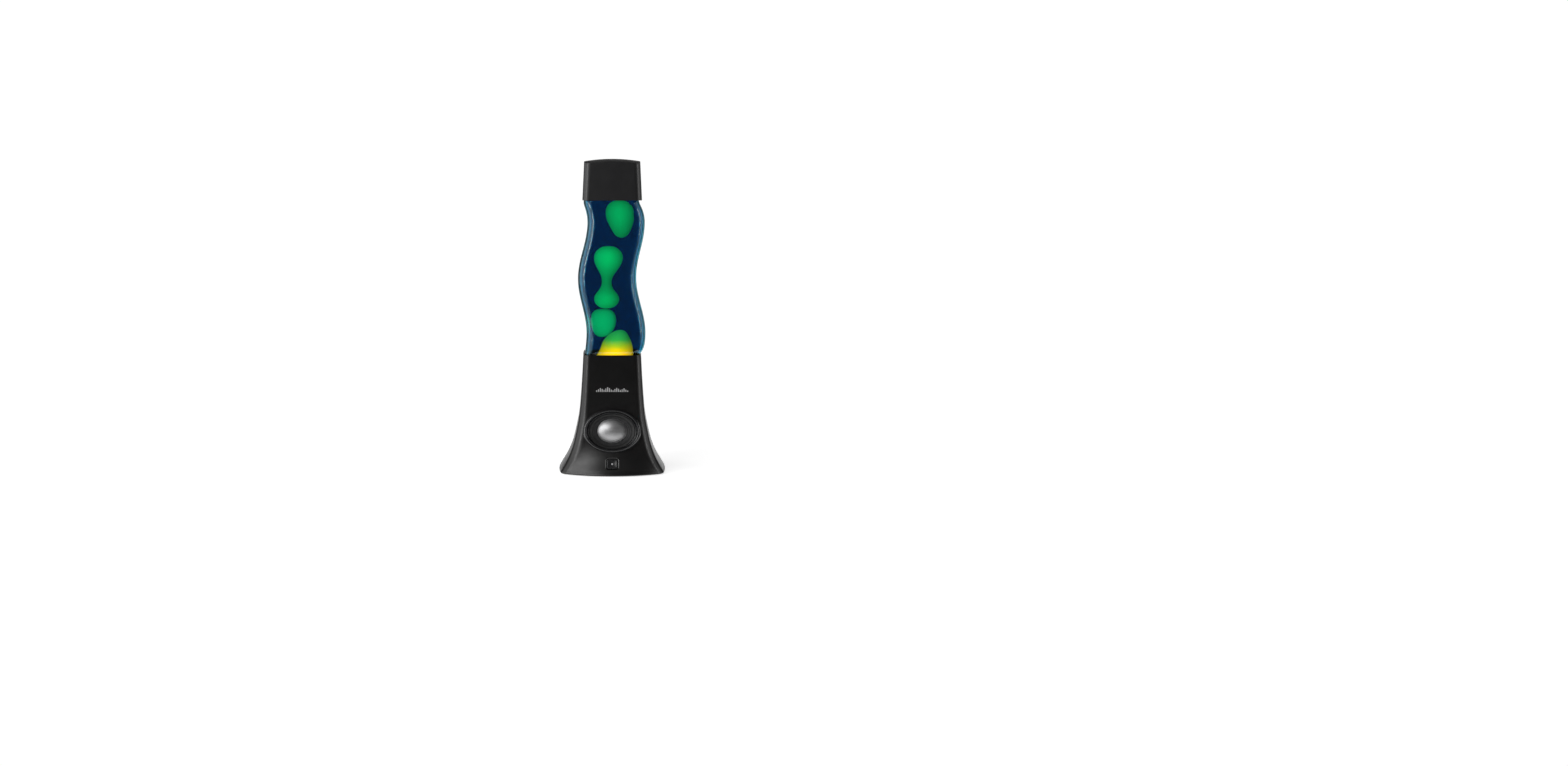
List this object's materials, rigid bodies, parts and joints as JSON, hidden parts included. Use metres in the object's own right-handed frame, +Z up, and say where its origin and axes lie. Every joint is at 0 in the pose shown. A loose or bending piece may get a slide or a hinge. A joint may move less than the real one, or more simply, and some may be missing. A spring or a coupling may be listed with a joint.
{
  "type": "lava lamp",
  "caption": "Wavy square lava lamp: coloured liquid and rising wax under a tapered cap, in a flared base with a bulb, an oval speaker and a push button.",
  "frame": {"origin": "on the floor plane under the middle of the base", "axes": "+Z up, the speaker and button face -Y, +X to the lamp's left-hand side as it faces the room"},
  "size_m": [0.1394, 0.1394, 0.4064],
  "materials": {
    "cap_plastic": "satin",
    "base_plastic": "satin",
    "plate_plastic": "fine grain",
    "bottle_glass": "clear, polished",
    "blue_liquid": "clear liquid tinted dark blue",
    "green_wax": "soft wax",
    "warm_wax": "soft wax, lit from below",
    "coil_steel": "bright wire",
    "closure_metal": "satin",
    "soft_seal": "matte",
    "bezel_plastic": "gloss",
    "button_plastic": "satin",
    "black_foam": "matte",
    "pressed_steel": "black paint",
    "cone_paper": "paper fibre",
    "dome_metal": "spun, brushed",
    "spider_cloth": "resin-set cloth",
    "coil_copper": "enamelled wire",
    "plated_steel": "zinc plate",
    "ferrite": "sintered",
    "screw_steel": "bright",
    "switch_body": "moulded",
    "plunger_plastic": "moulded",
    "circuit_board": "solder mask",
    "shield_steel": "pressed",
    "holder_resin": "moulded",
    "contact_brass": "plated",
    "bulb_clear": "clear front, silvered cone",
    "mount_glass": "clear",
    "tungsten": "fine wire",
    "transformer_core": "taped core",
    "capacitor_sleeve": "printed sleeve without lettering",
    "fuse_glass": "clear",
    "chip_resin": "moulded",
    "module_shield": "tinned can",
    "inlet_resin": "moulded",
    "pin_nickel": "nickel plate",
    "lead_sheath": "flexible sheath",
    "foot_rubber": "soft"
  },
  "bodies": {
    "base": {"base_shell": "base_plastic", "bottom_plate": "plate_plastic", "bottle_gasket": "soft_seal", "speaker_bezel": "bezel_plastic", "button_bezel": "bezel_plastic", "speaker_gasket": "black_foam", "speaker_surround": "black_foam", "speaker_basket": "pressed_steel", "speaker_spider": "spider_cloth", "magnet_top_plate": "plated_steel", "speaker_yoke": "plated_steel", "speaker_magnet": "ferrite", "speaker_screws": "screw_steel", "button_board_screws": "screw_steel", "shield_screws": "screw_steel", "holder_screws": "screw_steel", "board_screws": "screw_steel", "bottom_screws": "screw_steel", "tact_switch": "switch_body", "button_board": "circuit_board", "power_board": "circuit_board", "audio_board": "circuit_board", "heat_shield": "shield_steel", "lamp_holder": "holder_resin", "holder_shell": "contact_brass", "centre_contact": "contact_brass", "power_transformer": "transformer_core", "power_capacitor": "capacitor_sleeve", "audio_capacitors": "capacitor_sleeve", "fuse": "fuse_glass", "amplifier_chip": "chip_resin", "wireless_module": "module_shield", "power_inlet": "inlet_resin", "inlet_pins": "pin_nickel", "lamp_leads": "lead_sheath", "mains_leads": "lead_sheath", "speaker_leads": "lead_sheath", "foot_1": "foot_rubber", "foot_2": "foot_rubber", "foot_3": "foot_rubber", "foot_4": "foot_rubber"},
    "bottle": {"glass_bottle": "bottle_glass", "bottle_closure": "closure_metal", "closure_liner": "soft_seal", "lamp_liquid": "blue_liquid", "wax_mound": "warm_wax", "wire_coil": "coil_steel"},
    "cap": {"top_cap": "cap_plastic"},
    "button": {"push_button": "button_plastic", "switch_plunger": "plunger_plastic"},
    "cone": {"speaker_cone": "cone_paper", "dust_cap": "dome_metal", "voice_coil": "coil_copper"},
    "bulb": {"bulb_glass": "bulb_clear", "bulb_base": "contact_brass", "bulb_mount": "mount_glass", "bulb_filament": "tungsten"},
    "upper_wax": {"wax_blob_upper": "green_wax"},
    "middle_wax": {"wax_blob_middle": "green_wax"},
    "lower_wax": {"wax_blob_lower": "green_wax"}
  },
  "joints": [
    {"name": "bottle_lift", "type": "slide", "parent": "base", "child": "bottle", "axis": [0, 0, 1], "range_m": [0, 0.08]},
    {"name": "cap_lift", "type": "slide", "parent": "bottle", "child": "cap", "axis": [0, 0, 1], "range_m": [0, 0.06]},
    {"name": "button_press", "type": "slide", "parent": "base", "child": "button", "axis": [0, 0.8988, -0.4384], "range_m": [0, 0.0008], "stiffness_N_per_m": 400, "springref_m": -0.0005},
    {"name": "cone_travel", "type": "slide", "parent": "base", "child": "cone", "axis": [0, -0.9755, 0.2198], "range_m": [-0.0015, 0.0015], "stiffness_N_per_m": 1200, "deforming": ["speaker_surround", "speaker_spider"]},
    {"name": "bulb_turn", "type": "hinge", "parent": "base", "child": "bulb", "pos_m": [0, 0, 0.08], "axis": [0, 0, 1], "continuous": true},
    {"name": "upper_wax_drift", "type": "slide", "parent": "bottle", "child": "upper_wax", "axis": [0, 0, 1], "range_m": [-0.006, 0.004], "deforming": ["lamp_liquid"]},
    {"name": "middle_wax_drift", "type": "slide", "parent": "bottle", "child": "middle_wax", "axis": [0, 0, 1], "range_m": [-0.006, 0.006], "deforming": ["lamp_liquid"]},
    {"name": "lower_wax_drift", "type": "slide", "parent": "bottle", "child": "lower_wax", "axis": [0, 0, 1], "range_m": [-0.003, 0.008], "deforming": ["lamp_liquid"]}
  ]
}
